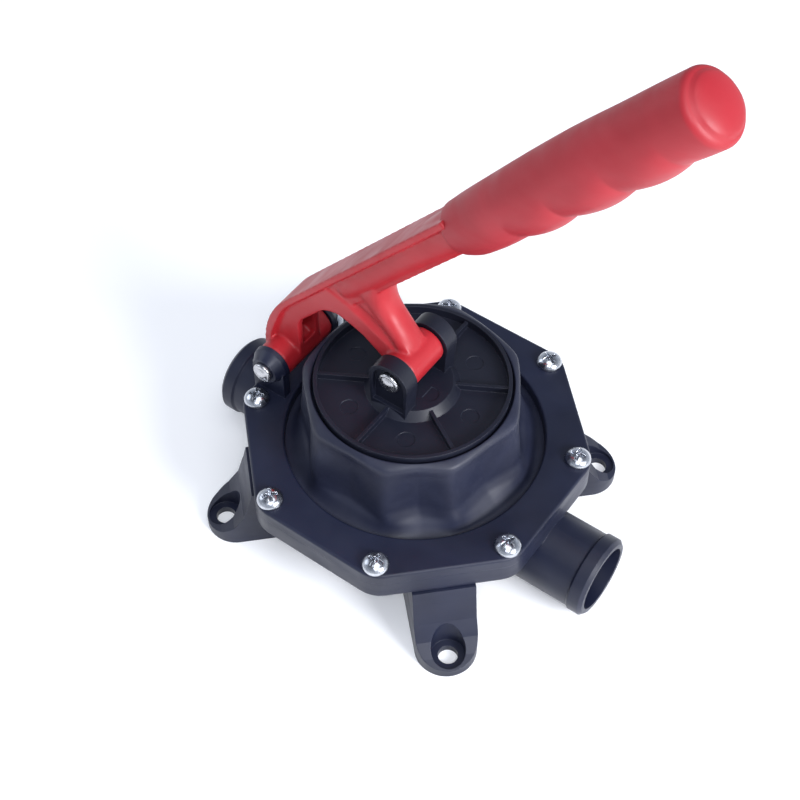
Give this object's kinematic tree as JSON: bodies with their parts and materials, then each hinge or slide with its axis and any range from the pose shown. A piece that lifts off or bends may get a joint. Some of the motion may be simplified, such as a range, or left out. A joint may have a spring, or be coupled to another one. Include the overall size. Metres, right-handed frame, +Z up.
{
  "type": "manual bilge pump",
  "caption": "Manual diaphragm bilge pump: octagonal body with two hose spigots and mounting feet, rubber diaphragm, plate with yoke, and a red lever with a hand grip.",
  "frame": {"origin": "centre of the four base bolt holes, on the surface the feet rest on", "axes": "+Z up; +X along the outlet spigot, away from the lever's fulcrum; the lever swings in the XZ plane"},
  "size_m": [0.2206, 0.152, 0.3033],
  "materials": {
    "housing_plastic": "semi-gloss moulded black, fine grain",
    "plate_plastic": "smooth moulded black",
    "lever_plastic": "satin moulded red",
    "grip_plastic": "satin moulded red",
    "diaphragm_rubber": "satin black rubber",
    "valve_rubber": "matte black rubber",
    "screw_steel": "bright zinc plated",
    "pin_steel": "polished stainless",
    "valve_plastic": "natural acetal"
  },
  "bodies": {
    "housing": {"pump_body": "housing_plastic", "clamp_ring": "housing_plastic", "flange_screws": "screw_steel", "fulcrum_pin": "pin_steel", "fulcrum_clip": "pin_steel", "inlet_seat": "valve_plastic", "inlet_seat_seal": "valve_rubber", "inlet_flap_bar": "valve_plastic", "inlet_bar_screws": "pin_steel", "outlet_seat": "valve_plastic", "outlet_seat_seal": "valve_rubber", "outlet_flap_bar": "valve_plastic", "outlet_bar_screws": "pin_steel"},
    "lever": {"lever": "lever_plastic", "grip": "grip_plastic"},
    "plate": {"top_plate": "plate_plastic", "clamp_plate": "plate_plastic", "plate_screws": "screw_steel", "yoke_pin": "pin_steel", "yoke_clip": "pin_steel"},
    "diaphragm": {"diaphragm": "diaphragm_rubber"},
    "inlet_flap": {"inlet_flap": "valve_rubber"},
    "outlet_flap": {"outlet_flap": "valve_rubber"}
  },
  "joints": [
    {"name": "lever_swing", "type": "hinge", "parent": "housing", "child": "lever", "pos_m": [-0.068, 0, 0.068], "axis": [0, 1, 0], "range_deg": [0, 30]},
    {"name": "plate_tilt", "type": "hinge", "parent": "lever", "child": "plate", "pos_m": [-0.0015, 0, 0.1015], "axis": [0, 1, 0], "range_deg": [-30, 0]},
    {"name": "diaphragm_stroke", "type": "slide", "parent": "housing", "child": "diaphragm", "axis": [0.2034, 0, -0.9791], "range_m": [0, 0.03855], "deforming": ["diaphragm"]},
    {"name": "inlet_flap_swing", "type": "hinge", "parent": "housing", "child": "inlet_flap", "pos_m": [-0.04455, 0, 0.032], "axis": [0, -1, 0], "range_deg": [0, 40]},
    {"name": "outlet_flap_swing", "type": "hinge", "parent": "housing", "child": "outlet_flap", "pos_m": [0.05145, 0, 0.032], "axis": [0, -1, 0], "range_deg": [0, 40]}
  ],
  "couplings": [
    {"joint": "plate_tilt", "follows": "lever_swing", "ratio": -1},
    {"joint": "diaphragm_stroke", "follows": "lever_swing", "m_per_rad": 0.073614}
  ]
}
